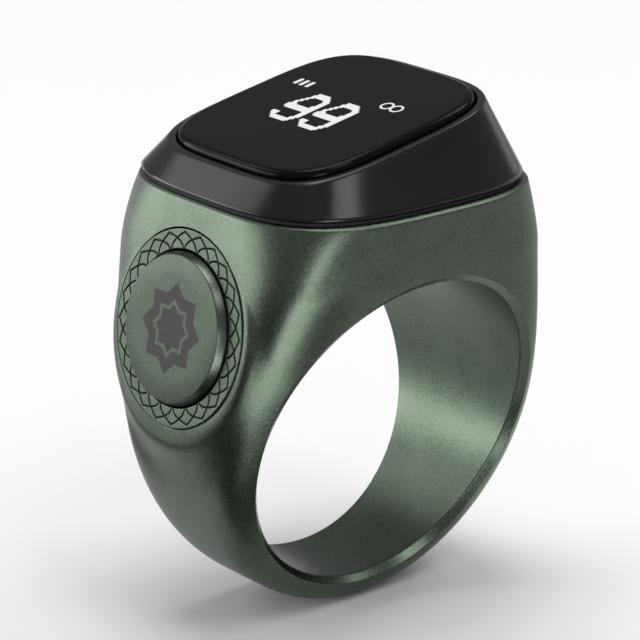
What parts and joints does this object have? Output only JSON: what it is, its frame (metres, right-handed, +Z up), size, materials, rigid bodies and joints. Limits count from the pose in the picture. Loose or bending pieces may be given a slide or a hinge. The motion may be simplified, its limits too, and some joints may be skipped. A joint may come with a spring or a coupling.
{
  "type": "digital tasbih counter ring",
  "caption": "Finger ring with a tilted dark display on its head and a round press button on its flank, for counting recited prayers.",
  "frame": {"origin": "middle of the finger bore", "axes": "+Y along the bore, +Z up through the head to the display, -X toward the count button"},
  "size_m": [0.025, 0.0206, 0.0318],
  "materials": {
    "sage_metal": "bead-blasted, anodised sage green",
    "bezel_black": "polished black",
    "lens_black": "black-backed gloss lens",
    "seal_rubber": "matte black silicone",
    "adhesive": "black adhesive film",
    "panel": "dark display glass",
    "polyimide": "amber flexible circuit",
    "carrier_plastic": "moulded black",
    "board": "green solder mask",
    "chip_black": "moulded package",
    "ceramic": "fired ceramic chip",
    "steel": "plain steel",
    "cell_foil": "aluminium laminate",
    "weight_metal": "dense sintered weight",
    "contact_gold": "gold plated",
    "magnet_nickel": "nickel plated"
  },
  "bodies": {
    "ring": {"ring_body": "sage_metal", "bezel_gasket": "seal_rubber", "top_bezel": "bezel_black", "lens_adhesive": "adhesive", "display_lens": "lens_black", "oled_panel": "panel", "display_foam": "seal_rubber", "oled_flex": "polyimide", "inner_carrier": "carrier_plastic", "main_pcb": "board", "bluetooth_chip": "chip_black", "charger_chip": "chip_black", "crystal": "steel", "chip_antenna": "ceramic", "pcb_passives": "ceramic", "pcb_screws": "steel", "battery_cell": "cell_foil", "battery_tape": "adhesive", "motor_case": "steel", "motor_shaft": "steel", "button_trim_ring": "sage_metal", "button_stop_pad": "seal_rubber", "switch_body": "carrier_plastic", "switch_flex": "polyimide", "switch_stiffener": "steel", "flex_connector": "carrier_plastic", "contact_insulator": "carrier_plastic", "charging_contacts": "contact_gold", "charging_flex": "polyimide", "charger_magnets": "magnet_nickel"},
    "button": {"count_button": "sage_metal"},
    "plunger": {"switch_plunger": "carrier_plastic"},
    "rotor": {"motor_rotor": "weight_metal"}
  },
  "joints": [
    {"name": "button_press", "type": "slide", "parent": "ring", "child": "button", "axis": [0.9781, 0, -0.2079], "range_m": [0, 0.0003], "stiffness_N_per_m": 1500, "springref_m": -0.0005},
    {"name": "plunger_press", "type": "slide", "parent": "ring", "child": "plunger", "axis": [0.9781, 0, -0.2079], "range_m": [0, 0.0003]},
    {"name": "rotor_spin", "type": "hinge", "parent": "ring", "child": "rotor", "pos_m": [0.0032, -0.0034, 0.0151], "axis": [0, 0, 1], "continuous": true}
  ],
  "couplings": [
    {"joint": "plunger_press", "follows": "button_press", "ratio": 1}
  ]
}
